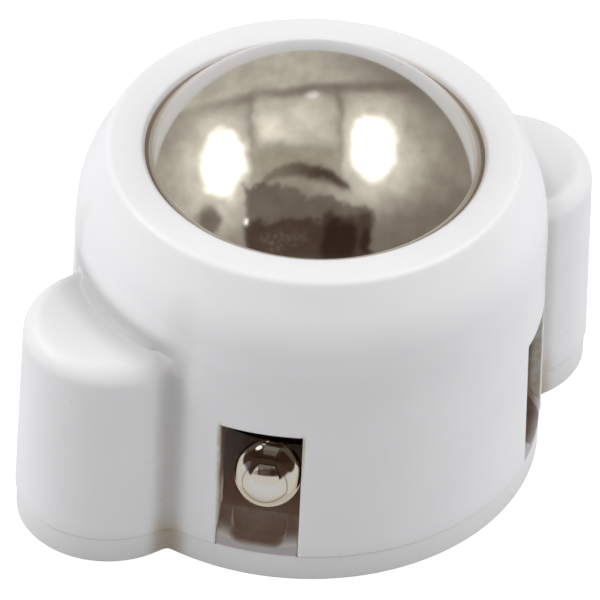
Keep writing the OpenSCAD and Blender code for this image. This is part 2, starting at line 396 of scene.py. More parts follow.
# the housing as one closed surface on a grid. Each row is a loop at a height: up the wall, round the
# lug's top edge, across the lug, up the fillet, over the shoulder and the rim, and down inside. The
# windows are left out of the grid and walled in through the thickness, vertex to vertex
def makeHousing(s=housingShape, w=windowShape, bodyRadius=outlineShape["bodyRadius"], steps=housingSteps):
    outAngle, inAngle, side = gradedColumns(bodyRadius, s["socketRadius"])
    count = len(outAngle)
    plan, out = outlineLoop(outAngle)
    wall, wallZ = wallRows(plan, out, side)
    topRow = steps["footEdge"] + steps["window"] - 2
    leant = float(draftInset(s["lugTop"] - s["lugEdge"]))
    bodyRadius = bodyRadius - leant
    shelf, landedAngle, endZ = lugTopRows(plan - out * leant, out, bodyRadius)

    # body above the lugs, where the columns ease back to their own angles
    profile, socket = bodyProfile(s)
    shift = (np.unwrap(landedAngle) - outAngle + np.pi) % (2 * np.pi) - np.pi
    rise = np.linspace(0, 1, steps["rise"])[1:-1]
    riseAngle = outAngle[None] + shift[None] * (1 - smoothStep(rise))[:, None]
    riseRadius = bodyRadius + (profile[0, 0] - bodyRadius) * rise
    rows = [wall, shelf, loops(riseRadius, endZ + (profile[0, 1] - endZ) * rise, riseAngle),
            loops(profile[:, 0], profile[:, 1], np.broadcast_to(outAngle, (len(profile), count)))]

    # inside, where the columns change over to the inner angles down the socket
    change = smoothStep(np.linspace(0, 1, len(socket)))[:, None]
    rows.append(loops(socket[:, 0], socket[:, 1], outAngle[None] + (inAngle - outAngle)[None] * change))
    highZ = np.linspace(s["ballHeight"], w["top"], steps["innerWall"])[1:-1]
    innerZ = np.concatenate([highZ, wallZ[:topRow + 1][::-1]])
    rows.append(loops(np.full(len(innerZ), s["socketRadius"]), innerZ,
                      np.broadcast_to(inAngle, (len(innerZ), count))))
    grid = np.concatenate(rows)
    total = len(grid)
    vertices = grid.reshape(-1, 3)
    index = roundIndex(total, count)

    # quads, without those in the windows
    middle = np.concatenate([np.abs(side[:-1] + side[1:]) / 2 < w["width"] / 2, [False]])
    low = np.arange(total - 1)
    inWindow = (low < topRow) | (low >= total - 1 - topRow)
    keep = ~(inWindow[:, None] & middle[None])
    faces = gridFaces(index).reshape(total - 1, count, 4)[keep].tolist()

    # window walls through the thickness, and the foot's ring
    starts = np.flatnonzero(middle & ~np.roll(middle, 1))
    ends = np.flatnonzero(~middle & np.roll(middle, 1))
    topIn = total - 1 - topRow
    for a, b in zip(starts, ends):
        for column, flip in ((a, True), (b, False)):
            outer, inner = index[:topRow + 1, column], index[total - 1:topIn - 1:-1, column]
            quads = np.stack([outer[:-1], outer[1:], inner[1:], inner[:-1]], -1)
            faces += (quads[:, ::-1] if flip else quads).tolist()
        outer, inner = index[topRow, a:b + 1], index[topIn, a:b + 1]
        faces += np.stack([outer[:-1], inner[:-1], inner[1:], outer[1:]], -1).tolist()
    ring = np.stack([index[-1, :-1], index[-1, 1:], index[0, 1:], index[0, :-1]], -1)
    faces += ring[~middle & ~lugColumns(outAngle)].tolist()

    # blind screw holes in the feet of the lugs
    for place in (s["screwPlace"], -s["screwPlace"]):
        loop = lugLoop(outAngle, place, index[-1], index[0])
        vertices, fill, rim = fillWithHole(vertices, loop, (place, 0), s["screwRadius"], s["foot"])
        faces += facing(vertices, fill, -1)
        vertices, tube = blindHole(vertices, rim, (place, 0), s["screwRadius"], s["foot"], s["screwDepth"])
        faces += tube
    return vertices, faces


plateShape = {
    "thickness": housingLow[2],
    "inset": 0.05,
    "sideFillet": 0.2,
    "footRadius": 0.09,
    "topRadius": 0.05,
    "ringOuter": 5.99,
    "ringInner": 5.39,
    "ringHeight": 0.7,
    "ringEdge": 0.08,
    "holeRadius": 1.1,
    "holePlace": 8.0,
    "footSteps": 9,
    "topSteps": 4,
    "creaseAngle": 30,
}

cupShape = {
    "reach": round(math.hypot(supportMiddle[0], supportMiddle[1]), 3),
    "ballHeight": supportMiddle[2],
    "cupRadius": 1.04,
    "back": 4.2,
    "front": 7.05,
    "width": 2.4,
    "top": 2.0753,
    "lipEnd": 6.449,
    "lipEdge": 0.001,
    "frontTop": 1.2,
    "troughWidth": 1.65,
    "troughCorner": 0.35,
    "troughFloor": 1.15,
    "sunk": 0.05,
    "cupSteps": 46,
    "frontSteps": 12,
    "sideSteps": 47,
}


# the base plate as loops on the outline, each outline - normal * inset: the foot's quarter round
# (r - r sin t, r - r cos t), the wall, the top edge, the ring that centres the plate, and a pole in
# the middle. The flat underside and the lugs' tops are filled round the holes
def makePlate(s=plateShape):
    angle = gradedColumns(outlineShape["bodyRadius"], housingShape["socketRadius"])[0]
    count, lugCell = len(angle), lugColumns(angle)
    plan, out = outlineLoop(angle, s["inset"], s["sideFillet"])
    turn = np.radians(np.linspace(0, 90, s["footSteps"]))
    small = np.radians(np.linspace(0, 90, s["topSteps"]))
    inset = np.concatenate([s["footRadius"] * (1 - np.sin(turn)), s["topRadius"] * (1 - np.cos(small))])
    z = np.concatenate([s["footRadius"] * (1 - np.cos(turn)),
                        s["thickness"] - s["topRadius"] + s["topRadius"] * np.sin(small)])
    wall = lifted(plan[None] - out[None] * inset[:, None, None], z[:, None])
    t, high, edge = s["thickness"], s["thickness"] + s["ringHeight"], s["ringEdge"]
    outer, inner = s["ringOuter"], s["ringInner"]
    radius = [outer, outer, outer - edge, inner + edge, inner, inner]
    height = [t, high - edge, high, high, high - edge, t]
    grid = np.concatenate([wall, loops(radius, height, np.broadcast_to(angle, (len(radius), count)))])
    vertices = np.vstack([grid.reshape(-1, 3), [[0, 0, t]]])
    index = roundIndex(len(grid), count)
    keep = np.ones((len(grid) - 1, count), bool)
    keep[len(wall) - 1] = ~lugCell
    faces = gridFaces(index).reshape(-1, count, 4)[keep].tolist()
    pole = np.full(count, len(vertices) - 1)
    faces += np.stack([index[-1, :-1], index[-1, 1:], pole], -1).tolist()

    # lug tops and the underside, with the clearance holes right through
    places, steps = (s["holePlace"], -s["holePlace"]), outlineShape["holeSteps"]
    upper = []
    for place in places:
        loop = lugLoop(angle, place, index[len(wall) - 1], index[len(wall)])
        vertices, fill, rim = fillWithHole(vertices, loop, (place, 0), s["holeRadius"], t)
        faces += facing(vertices, fill, 1)
        upper.append(rim)
    rings = [circlePoints((place, 0), s["holeRadius"], 0.0, steps) for place in places]
    triangles = filled([vertices[index[0, :-1]]] + rings)
    lower = [len(vertices) + k * steps + np.arange(steps) for k in range(len(rings))]
    numbers = np.concatenate([index[0, :-1]] + lower)
    vertices = np.vstack([vertices] + rings)
    faces += facing(vertices, numbers[triangles], -1)
    for low, top in zip(lower, upper):
        faces += np.stack([low, top, np.roll(top, -1), np.roll(low, -1)], -1).tolist()
    return vertices, faces


# one cup block as a height over x and y: the lowest of a flat top, a straight slope to the front, a
# cup ballHeight - sqrt(cupRadius^2 - (x - reach)^2 - y^2), and a trough with rounded corners that
# runs out through the front, itself the arc sqrt(front^2 - y^2). Walls close it all round
def makeCupBlock(turn, s=cupShape):
    half, lipEnd, length = s["width"] / 2, s["lipEnd"], s["front"] - s["lipEnd"]
    y = np.linspace(-half, half, s["sideSteps"])
    x = np.concatenate([np.linspace(s["back"], lipEnd - s["lipEdge"], s["cupSteps"]),
                        np.linspace(lipEnd + s["lipEdge"], s["front"], s["frontSteps"])])
    gx, gy = np.meshgrid(x, y, indexing="ij")
    front = np.sqrt(s["front"] ** 2 - gy ** 2)
    gx = np.where(gx > lipEnd, lipEnd + (gx - lipEnd) * (front - lipEnd) / length, gx)
    z = np.minimum(s["top"], s["top"] + (s["frontTop"] - s["top"]) * (gx - lipEnd) / length)
    deep = s["cupRadius"] ** 2 - (gx - s["reach"]) ** 2 - gy ** 2
    z = np.where(deep > 0, np.minimum(z, s["ballHeight"] - np.sqrt(np.maximum(deep, 0))), z)
    corner, wide = s["troughCorner"], s["troughWidth"] / 2
    bend = np.clip(np.abs(gy) - wide + corner, 0, corner)
    trough = s["troughFloor"] + corner - np.sqrt(corner ** 2 - bend ** 2)
    z = np.where((gx > lipEnd) & (np.abs(gy) < wide), np.minimum(z, trough), z)
    top = np.stack([gx, gy, z], -1)
    foot = top.copy()
    foot[..., 2] = plateShape["thickness"] - s["sunk"]
    a = np.arange(gx.size).reshape(gx.shape)
    rim = np.concatenate([a[:, 0], a[-1, 1:], a[-2::-1, -1], a[0, -2:0:-1]])
    base = rim + gx.size
    faces = gridFaces(a)[:, ::-1].tolist() + gridFaces(a + gx.size).tolist()
    faces += np.stack([np.roll(rim, -1), rim, base, np.roll(base, -1)], -1).tolist()
    vertices = np.concatenate([top.reshape(-1, 3), foot.reshape(-1, 3)])
    c, q = math.cos(turn), math.sin(turn)
    return vertices @ np.array([[c, q, 0], [-q, c, 0], [0, 0, 1]]), faces


# the plate and its four cup blocks, a quarter turn apart, as one list of vertices and faces
def makeBasePlate():
    vertices, faces = makePlate()
    for quarter in range(4):
        more, cells = makeCupBlock(math.radians(windowShape["firstAngle"] + 90 * quarter))
        faces += (np.array(cells) + len(vertices)).tolist()
        vertices = np.vstack([vertices, more])
    return vertices, faces


ballShape = {"rings": 96, "segments": 160}


# a sphere on a grid of latitude and longitude, closed by a pole at each end:
# centre + radius * (cos lat cos lon, cos lat sin lon, sin lat)
def makeBall(centre, radius, s=ballShape):
    lat = np.linspace(-np.pi / 2, np.pi / 2, s["rings"] + 1)[1:-1]
    lon = np.linspace(0, 2 * np.pi, s["segments"], endpoint=False)
    grid = loops(np.cos(lat), np.sin(lat), np.broadcast_to(lon, (len(lat), len(lon))))
    vertices = np.vstack([grid.reshape(-1, 3), [[0, 0, -1], [0, 0, 1]]]) * radius + centre
    index = roundIndex(len(lat), len(lon))
    faces = gridFaces(index).tolist()
    low, high = np.full(len(lon), grid[..., 0].size), np.full(len(lon), grid[..., 0].size + 1)
    faces += np.stack([low, index[0, 1:], index[0, :-1]], -1).tolist()
    faces += np.stack([high, index[-1, :-1], index[-1, 1:]], -1).tolist()
    return vertices, faces


# short names for adding and joining nodes in one tree
class Wires:
    def __init__(self, tree):
        self.tree = tree

    def put(self, socket, value):
        if isinstance(value, bpy.types.NodeSocket):
            self.tree.links.new(value, socket)
        elif value is not None:
            socket.default_value = value

    def node(self, kind, **settings):
        made = self.tree.nodes.new("ShaderNode" + kind)
        for key, value in settings.items():
            setattr(made, key, value)
        return made

    def maths(self, operation, *values):
        made = self.node("Math", operation=operation)
        for socket, value in zip(made.inputs, values):
            self.put(socket, value)
        return made.outputs[0]

    # first * second * third ...
    def times(self, first, *others):
        for other in others:
            first = self.maths("MULTIPLY", first, other)
        return first

    # |value - middle|
    def apart(self, value, middle):
        return self.maths("ABSOLUTE", self.maths("SUBTRACT", value, middle))

    # sqrt(a a + b b)
    def length(self, a, b):
        return self.maths("SQRT", self.maths("ADD", self.times(a, a), self.times(b, b)))

    def vector(self, operation, a, b=None, out=0):
        made = self.node("VectorMath", operation=operation)
        self.put(made.inputs[0], a)
        self.put(made.inputs[1], b)
        return made.outputs[out]

    def scaled(self, vector, scale):
        made = self.vector("SCALE", vector)
        self.put(made.node.inputs["Scale"], scale)
        return made

    def joined(self, *values):
        made = self.node("CombineXYZ")
        for socket, value in zip(made.inputs, values):
            self.put(socket, value)
        return made.outputs[0]

    # a smooth step from start to end as the value goes from low to high
    def ramp(self, value, low, high, start=0.0, end=1.0):
        made = self.node("MapRange", interpolation_type="SMOOTHSTEP")
        for socket, item in zip(made.inputs, (value, low, high, start, end)):
            self.put(socket, item)
        return made.outputs[0]

    def mix(self, factor, a, b, blend="MIX"):
        made = self.node("Mix", data_type="RGBA", blend_type=blend)
        self.put(made.inputs[0], factor)
        self.put(made.inputs[6], a)
        self.put(made.inputs[7], b)
        return made.outputs[2]

    def noise(self, vector, scale, detail, roughness):
        made = self.node("TexNoise")
        self.put(made.inputs["Vector"], vector)
        made.inputs["Scale"].default_value = scale
        made.inputs["Detail"].default_value = detail
        made.inputs["Roughness"].default_value = roughness
        return made.outputs["Fac"]

    # noise with its (scale, detail, roughness), sent through a ramp
    def patches(self, vector, grain, steps):
        return self.ramp(self.noise(vector, *grain), *steps)

    # object coordinates in millimetres
    def place(self):
        return self.scaled(self.node("TexCoord").outputs["Object"], 1 / mm)

    def bump(self, shader, height, depth):
        made = self.node("Bump")
        made.inputs["Strength"].default_value = 1.0
        made.inputs["Distance"].default_value = depth * mm
        self.put(made.inputs["Height"], height)
        self.put(shader.inputs["Normal"], made.outputs[0])


# an empty shader node group with named sockets, and the wires to fill it
def newGroup(name, inputs, outputs):
    group = bpy.data.node_groups.new(name, "ShaderNodeTree")
    for label, kind, value in inputs:
        socket = group.interface.new_socket(label, in_out="INPUT", socket_type="NodeSocket" + kind)
        socket.default_value = value
    for label, kind in outputs:
        group.interface.new_socket(label, in_out="OUTPUT", socket_type="NodeSocket" + kind)
    given, out = group.nodes.new("NodeGroupInput").outputs, group.nodes.new("NodeGroupOutput").inputs
    return group, Wires(group), given, out


def nodeMaterial(name):
    material = bpy.data.materials.new(name)
    material.use_nodes = True
    return material, Wires(material.node_tree), material.node_tree.nodes["Principled BSDF"]


def useGroup(wires, group, values):
    made = wires.node("Group", node_tree=group)
    for label, value in values.items():
        wires.put(made.inputs[label], value)
    return made.outputs


# marks on the moulded plastic, in millimetres. A pair of lengths is where a mark starts and where it
# is full, grain is a noise's scale, detail and roughness, and steps are a ramp's four values
mouldedMarks = {
    "cloud": {"grain": (0.3, 3, 0.5), "steps": (0.3, 0.7, 0.98, 1.01)},
    "corner": {"x": 6.65, "y": 2.8},
    "stain": {"reach": (0.8, 0.1), "height": (2.0, 0.6), "most": 0.6, "least": 0.15, "roughness": 0.5,
              "grain": (1.3, 4, 0.6), "steps": (0.25, 0.6, 0.55, 1.0)},
    "crevice": {"reach": (0.6, 0.1), "height": (7.8, 7.2), "share": 0.29},
    "ledge": {"radius": 7.15, "height": 7.37, "reach": (1.0, 0.1), "share": 0.2, "width": (3.4, 2.0)},
    "bend": {"above": (7.25, 7.30), "below": (8.0, 7.5), "radius": (7.7, 7.5), "share": 0.2},
    "shade": (0.03, 0.03, 0.03, 1),
    "frame": {"side": windowShape["width"] / math.sqrt(2), "reach": (0.14, 0.05), "radius": (7.06, 7.0),
              "height": (5.7, 5.4), "grain": (1.6, 3, 0.6), "steps": (0.35, 0.6, 0.4, 1.0),
              "share": 0.7, "colour": (0.46, 0.4, 0.22, 1)},
    "speck": {"grain": (5.5, 1, 0.4), "steps": (0.815, 0.83), "share": 0.4, "colour": (0.3, 0.25, 0.2, 1)},
    # where the painted dark brown shade inside the wall goes, and its patches
    "inside": {"top": (6.6, 5.6), "foot": (0.9, 0.96)},
    "shadePatches": {"grain": (0.9, 4, 0.6), "steps": (0.3, 0.7, 0.93, 1.0)},
    # masks for painted light and shade: a glow round the load ball, lit cup blocks, dark below the windows, a
    # dark line at a cup's lip and a glint over each support ball
    "gap": {"ballHeight": ballMiddle[2], "reach": (6.2, 6.1), "height": (7.0, 8.0)},
    "low": {"height": (3.5, 3.25), "radius": (5.0, 5.6)},
    "window": (5.9, 5.6),
    "lip": {"radius": 6.42, "reach": (0.07, 0.0), "height": (1.7, 1.9)},
    "glint": {"place": (5.23, 3.08, 3.52), "reach": (0.6, 0.4)},
    "ripple": (0.5, 2, 0.4),
}


# injection-moulded plastic. Colour: the given colour times a faint cloud, then painted shade where the lugs
# meet the body, stained in the upright corners, round the windows and in rare specks, and painted dark
# shade inside the wall. The masks say where that is: Inner the painted shade inside the wall, Low the cup
# blocks, Gap round the load ball, Window below the windows' tops, Lip a cup's lip, Glint a spot above each
# support ball
def makeMouldedSkin(m=mouldedMarks):
    group, w, given, out = newGroup(
        "mouldedSkin",
        [("Colour", "Color", (0.86, 0.85, 0.86, 1)), ("Stain", "Color", (0.46, 0.38, 0.25, 1)),
         ("Painted Shade", "Color", (0.04, 0.026, 0.02, 1)), ("Inside", "Float", 6.9), ("Fade", "Float", 0.25),
         ("Roughness", "Float", 0.3)],
        [("Colour", "Color"), ("Roughness", "Float"), ("Height", "Float"), ("Inner", "Float"),
         ("Low", "Float"), ("Gap", "Float"), ("Window", "Float"), ("Lip", "Float"), ("Glint", "Float")])
    place = w.place()
    split = w.node("SeparateXYZ")
    w.put(split.inputs[0], place)
    x, y, z = split.outputs
    radius = w.length(x, y)
    absX, absY = w.maths("ABSOLUTE", x), w.maths("ABSOLUTE", y)
    tone = w.patches(place, m["cloud"]["grain"], m["cloud"]["steps"])
    colour = w.mix(1.0, given["Colour"], tone, "MULTIPLY")

    # shade in the crevice between lug and body, on the lug's top near it, and on the fillet
    k = m["corner"]
    corner = w.length(w.maths("SUBTRACT", absX, k["x"]), w.maths("SUBTRACT", absY, k["y"]))
    k = m["crevice"]
    crevice = w.times(w.ramp(corner, *k["reach"]), w.ramp(z, *k["height"]), k["share"])
    k = m["bend"]
    bend = w.times(w.ramp(z, *k["above"]), w.ramp(z, *k["below"]), w.ramp(radius, *k["radius"]), k["share"])
    k = m["ledge"]
    away = w.length(w.maths("SUBTRACT", radius, k["radius"]), w.maths("SUBTRACT", z, k["height"]))
    ledge = w.maths("MULTIPLY_ADD", w.ramp(away, *k["reach"]), k["share"], bend)
    ledge = w.times(ledge, w.ramp(absY, *k["width"]))
    colour = w.mix(w.maths("MAXIMUM", ledge, crevice), colour, m["shade"])

    # stain up the corner, strongest at the foot
    k = m["stain"]
    upright = w.maths("MULTIPLY_ADD", w.ramp(z, *k["height"]), k["most"], k["least"])
    stain = w.times(w.ramp(corner, *k["reach"]), upright, w.patches(place, k["grain"], k["steps"]))
    colour = w.mix(stain, colour, given["Stain"])

    # stain on the windows' edges: ||x| - |y|| is constant along a window's side
    k = m["frame"]
    beside = w.apart(w.maths("ABSOLUTE", w.maths("SUBTRACT", absX, absY)), k["side"])
    frame = w.times(w.ramp(beside, *k["reach"]), w.ramp(radius, *k["radius"]), w.ramp(z, *k["height"]),
                    w.patches(place, k["grain"], k["steps"]), k["share"])
    colour = w.mix(frame, colour, k["colour"])
    k = m["speck"]
    colour = w.mix(w.times(w.patches(place, k["grain"], k["steps"]), k["share"]), colour, k["colour"])

    # painted shade inside the wall: dark brown, in cloudy patches
    inner = w.ramp(radius, given["Inside"], w.maths("SUBTRACT", given["Inside"], given["Fade"]))
    inner = w.times(inner, w.ramp(z, *m["inside"]["top"]), w.ramp(z, *m["inside"]["foot"]),
                    w.patches(place, m["shadePatches"]["grain"], m["shadePatches"]["steps"]))
    w.put(out["Colour"], w.mix(inner, colour, given["Painted Shade"]))
    w.put(out["Roughness"], w.maths("MULTIPLY_ADD", stain, m["stain"]["roughness"], given["Roughness"]))
    w.put(out["Height"], w.noise(place, *m["ripple"]))

    # masks where the plastic material paints a glow, and the light and shade that mirrors see
    w.put(out["Inner"], inner)
    k = m["gap"]
    toBall = w.length(w.maths("SUBTRACT", z, k["ballHeight"]), radius)
    w.put(out["Gap"], w.times(w.ramp(toBall, *k["reach"]), w.ramp(z, *k["height"])))
    w.put(out["Low"], w.times(w.ramp(z, *m["low"]["height"]), w.ramp(radius, *m["low"]["radius"])))
    w.put(out["Window"], w.ramp(z, *m["window"]))
    k = m["lip"]
    w.put(out["Lip"], w.times(w.ramp(w.apart(radius, k["radius"]), *k["reach"]), w.ramp(z, *k["height"])))
    k = m["glint"]
    toGlint = w.vector("DISTANCE", w.joined(absX, absY, z), k["place"], out=1)
    w.put(out["Glint"], w.ramp(toGlint, *k["reach"]))
    return group


mouldedSkin = makeMouldedSkin()

# soaked and gapGlow are painted glows; mirrored, dark and glint are painted light and shade that only mirrors
# see
plasticFinish = {
    "housing": {"colour": (0.86, 0.85, 0.862, 1), "roughness": 0.34, "specular": 0.4, "inside": 6.85,
                "fade": 0.25, "mirrored": (0.72, 0.71, 0.70, 1)},
    "plate": {"colour": (0.78, 0.768, 0.772, 1), "roughness": 0.4, "specular": 0.2, "inside": 7.35,
              "fade": 0.6, "mirrored": (0.62, 0.58, 0.50, 1)},
    "rippleDepth": 0.006,
    "refraction": 1.5,
    "soaked": (0.052, 0.029, 0.018, 1),
    "gapGlow": (0.13, 0.105, 0.085, 1),
    "dark": (0.05, 0.033, 0.027, 1),
    "glint": (2.0, 2.2, 2.8, 1),
    "lipShare": 0.7,
    "secondMirror": (1.0, 2.0),
    "mirroredFades": (1.0, 0.15),
    "glintGrows": (0.05, 1.0),
}


# moulded plastic on its group. Light that soaks through the wall is painted as a weak emission, a glow
# where the group's Inner and Gap masks are. Where metal mirrors the plastic it sees painted light and shade:
# below the windows' tops the plastic is painted dark, the cup blocks are painted lit with a dark line at each
# cup's lip, and a painted glint stands over each support ball. In a mirror's mirror the blocks dim and the
# glint grows
def plastic(name, finish, s=plasticFinish):
    material, w, shader = nodeMaterial(name)
    skin = useGroup(w, mouldedSkin, {"Colour": finish["colour"], "Roughness": finish["roughness"],
                                     "Inside": finish["inside"], "Fade": finish["fade"]})
    light = w.node("LightPath").outputs
    glossy, depth = light["Is Glossy Ray"], light["Ray Depth"]
    # painted shade for mirrors: below the windows' tops the base colour turns dark for mirror rays
    w.put(shader.inputs["Base Color"], w.mix(w.times(skin["Window"], glossy), skin["Colour"], s["dark"]))
    w.put(shader.inputs["Roughness"], skin["Roughness"])
    w.bump(shader, skin["Height"], s["rippleDepth"])
    shader.inputs["IOR"].default_value = s["refraction"]
    shader.inputs["Specular IOR Level"].default_value = finish["specular"]
    # painted light for mirrors: the cup blocks glow, with a dark line at the lip, and a glint glows over each
    # support ball
    mirrored = w.times(skin["Low"], glossy, w.ramp(depth, *s["secondMirror"], *s["mirroredFades"]))
    glint = w.times(skin["Glint"], glossy, w.ramp(depth, *s["secondMirror"], *s["glintGrows"]))
    block = w.mix(w.times(skin["Lip"], s["lipShare"]), finish["mirrored"], s["dark"])
    glow = w.mix(mirrored, w.mix(skin["Gap"], s["soaked"], s["gapGlow"]), block)
    w.put(shader.inputs["Emission Color"], w.mix(glint, glow, s["glint"]))
    # a painted glow for all rays inside the wall and round the load ball
    soaked = w.maths("MAXIMUM", skin["Inner"], skin["Gap"])
    strength = w.maths("MAXIMUM", soaked, w.maths("MAXIMUM", mirrored, glint))
    w.put(shader.inputs["Emission Strength"], strength)
    return material


# marks on the steel: pits are the middles of a few chosen cells, their size a share of a cell, and
# scratches are a noise drawn out along one direction; the depth is in millimetres
steelMarks = {
    "tone": {"grain": (0.25, 3, 0.5), "steps": (0.3, 0.7, 0.97, 1.03)},
    "pit": {"size": (0.085, 0.05), "chosen": (0.6, 0.75), "share": 0.55, "colour": (0.12, 0.09, 0.07, 1)},
    "scratch": {"turn": (0.5, 0.9, 0.3), "stretch": (0.25, 3.5, 3.5), "grain": (3.0, 3, 0.6),
                "steps": (0.66, 0.74), "roughness": 0.08},
    "pitDepth": 0.01,
}


# polished ball steel. Colour: the given colour times a slow tone, dark in the pits. Roughness: the
# given one plus a little in the scratches. Height: minus one in a pit
def makePolishedSkin(m=steelMarks):
    group, w, given, out = newGroup(
        "polishedSkin",
        [("Colour", "Color", (0.66, 0.62, 0.54, 1)), ("Pit Scale", "Float", 1.2),
         ("Roughness", "Float", 0.1)],
        [("Colour", "Color"), ("Roughness", "Float"), ("Height", "Float")])
    place = w.place()
    tone = w.patches(place, m["tone"]["grain"], m["tone"]["steps"])
    colour = w.mix(1.0, given["Colour"], tone, "MULTIPLY")
    cells = w.node("TexVoronoi")
    w.put(cells.inputs["Vector"], place)
    w.put(cells.inputs["Scale"], given["Pit Scale"])
    chosen = w.node("SeparateColor")
    w.put(chosen.inputs[0], cells.outputs["Color"])
    k = m["pit"]
    pit = w.times(w.ramp(cells.outputs["Distance"], *k["size"]), w.ramp(chosen.outputs[0], *k["chosen"]))
    w.put(out["Colour"], w.mix(w.times(pit, k["share"]), colour, k["colour"]))
    k = m["scratch"]
    stretched = w.node("Mapping")
    w.put(stretched.inputs["Vector"], place)
    stretched.inputs["Rotation"].default_value = k["turn"]
    stretched.inputs["Scale"].default_value = k["stretch"]
    scratch = w.patches(stretched.outputs[0], k["grain"], k["steps"])
    w.put(out["Roughness"], w.maths("ADD", given["Roughness"], w.times(scratch, k["roughness"])))
    w.put(out["Height"], w.times(pit, -1.0))
    return group


polishedSkin = makePolishedSkin()

# the values of the group's inputs, by their names
steelFinish = {
    "loadBall": {"Colour": (0.66, 0.62, 0.54, 1), "Roughness": 0.09, "Pit Scale": 0.55},
    "supportBall": {"Colour": (0.68, 0.64, 0.57, 1), "Roughness": 0.09, "Pit Scale": 2.4},
}


def steel(name, finish):
    material, w, shader = nodeMaterial(name)
    skin = useGroup(w, polishedSkin, finish)
    w.put(shader.inputs["Base Color"], skin["Colour"])
    w.put(shader.inputs["Roughness"], skin["Roughness"])
    w.bump(shader, skin["Height"], steelMarks["pitDepth"])
    shader.inputs["Metallic"].default_value = 1
    return material


vertices, faces = makeHousing()
housing = addMesh("housingMoulding", vertices, faces, housingShape["creaseAngle"])
housing.data.materials.append(plastic("housingPlastic", plasticFinish["housing"]))
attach(housing, "root")
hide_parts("housing")
print("housing made")

vertices, faces = makeBasePlate()
basePlate = addMesh("basePlateMoulding", vertices, faces, plateShape["creaseAngle"])
basePlate.data.materials.append(plastic("platePlastic", plasticFinish["plate"]))
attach(basePlate, "root")
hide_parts("base_plate")
print("base plate made")

loadSteel = steel("loadBallSteel", steelFinish["loadBall"])
smallSteel = steel("supportBallSteel", steelFinish["supportBall"])
for node in sorted(n for n in frame["nodes"] if "ball" in n):
    low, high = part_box(node)
    centre, radius = np.array((low + high) / 2) / mm, (high.z - low.z) / 2 / mm
    vertices, faces = makeBall(centre, radius)
    ball = addMesh("polished_" + node, vertices, faces)
    ball.data.materials.append(loadSteel if node == "main_ball" else smallSteel)
    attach(ball, node)
    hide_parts(node)
print("balls made")


# lengths in millimetres, but the clip in metres; angles in degrees
cameraSetup = {
    "target": (-0.216, 0.109, 4.864),
    "turn": 234.9,
    "height": 40.27,
    "roll": 2.61,
    "distance": 321.66,
    "lens": 650.45,
    "sensor": 36,
    "clip": (0.01, 10),
}


# right, up and backwards of a camera turned about Z, raised, and rolled about its own line of sight:
# back = (cos rise cos turn, cos rise sin turn, sin rise), right = Z x back, up = back x right
def cameraAxes(s=cameraSetup):
    turn, rise, roll = (math.radians(s[k]) for k in ("turn", "height", "roll"))
    back = Vector((math.cos(rise) * math.cos(turn), math.cos(rise) * math.sin(turn), math.sin(rise)))
    right = Vector((0, 0, 1)).cross(back).normalized()
    up = back.cross(right)
    return right * math.cos(roll) + up * math.sin(roll), up * math.cos(roll) - right * math.sin(roll), back


# the sum of axes, each times its share, as a direction of length one
def along(axes, shares):
    return sum((axis * share for axis, share in zip(axes, shares)), Vector()).normalized()


def addCamera(s=cameraSetup):
    data = bpy.data.cameras.new("camera")
    data.lens, data.sensor_width = s["lens"], s["sensor"]
    data.clip_start, data.clip_end = s["clip"]
    camera = bpy.data.objects.new("camera", data)
    bpy.context.scene.collection.objects.link(camera)
    axes = cameraAxes()
    matrix = Matrix(axes).transposed().to_4x4()
    matrix.translation = (Vector(s["target"]) + axes[2] * s["distance"]) * mm
    camera.matrix_world = matrix
    bpy.context.scene.camera = camera


addCamera()

# metres and watts; a direction is to the right, up and towards the camera
lampSetup = {
    "left": {"direction": (-0.711, 0.624, 0.324), "distance": 0.30, "size": (0.08, 0.16), "power": 0.085},
    "right": {"direction": (0.492, 0.762, 0.421), "distance": 0.30, "size": (0.078, 0.175), "power": 0.09},
}
lampAim = Vector((0, 0, 0.007))
whiteLight = (1, 1, 1, 1)


# oval soft lamps, turned so that a round mirror shows them upright: with h halfway between the lamp
# and the camera, the long side is the direction x (right - h (h . right))
def addLamps(lamps=lampSetup):
    axes = cameraAxes()
    for name, s in lamps.items():
        data = bpy.data.lights.new(name + "Softbox", "AREA")
        data.shape = "ELLIPSE"
        data.size, data.size_y = s["size"]
        data.energy = s["power"]
        lamp = bpy.data.objects.new(name + "Softbox", data)
        bpy.context.scene.collection.objects.link(lamp)
        direction = along(axes, s["direction"])
        half = (direction + axes[2]).normalized()
        tall = direction.cross(axes[0] - half * half.dot(axes[0])).normalized()
        matrix = Matrix((tall.cross(direction), tall, direction)).transposed().to_4x4()
        matrix.translation = lampAim + direction * s["distance"]
        lamp.matrix_world = matrix


addLamps()

floorSetup = {
    "halfWidth": 2,
    "colour": (0.25, 0.25, 0.25, 1),
    "roughness": 0.9,
    "white": 0.95,
    "secondMirror": (1.0, 2.0),
    "mirrored": (0.5, 0.05),
    "tint": (0.97, 1.0, 1.12, 1),
}


# a wide floor that the camera sees as white, with the object's shadow, and metal as pale grey
def addFloor(s=floorSetup):
    mesh = bpy.data.meshes.new("floor")
    corners = [(x * s["halfWidth"], y * s["halfWidth"], 0) for x, y in ((-1, -1), (1, -1), (1, 1), (-1, 1))]
    mesh.from_pydata(corners, [], [(0, 1, 2, 3)])
    floor = bpy.data.objects.new("floor", mesh)
    bpy.context.scene.collection.objects.link(floor)
    material, w, shader = nodeMaterial("paleFloor")
    shader.inputs["Base Color"].default_value = s["colour"]
    shader.inputs["Roughness"].default_value = s["roughness"]
    light = w.node("LightPath").outputs
    seen = w.times(light["Is Camera Ray"], s["white"])
    mirrored = w.ramp(light["Ray Depth"], *s["secondMirror"], *s["mirrored"])
    mirrored = w.times(light["Is Glossy Ray"], mirrored)
    w.put(shader.inputs["Emission Strength"], w.maths("ADD", seen, mirrored))
    w.put(shader.inputs["Emission Color"], w.mix(light["Is Glossy Ray"], whiteLight, s["tint"]))
    mesh.materials.append(material)


addFloor()

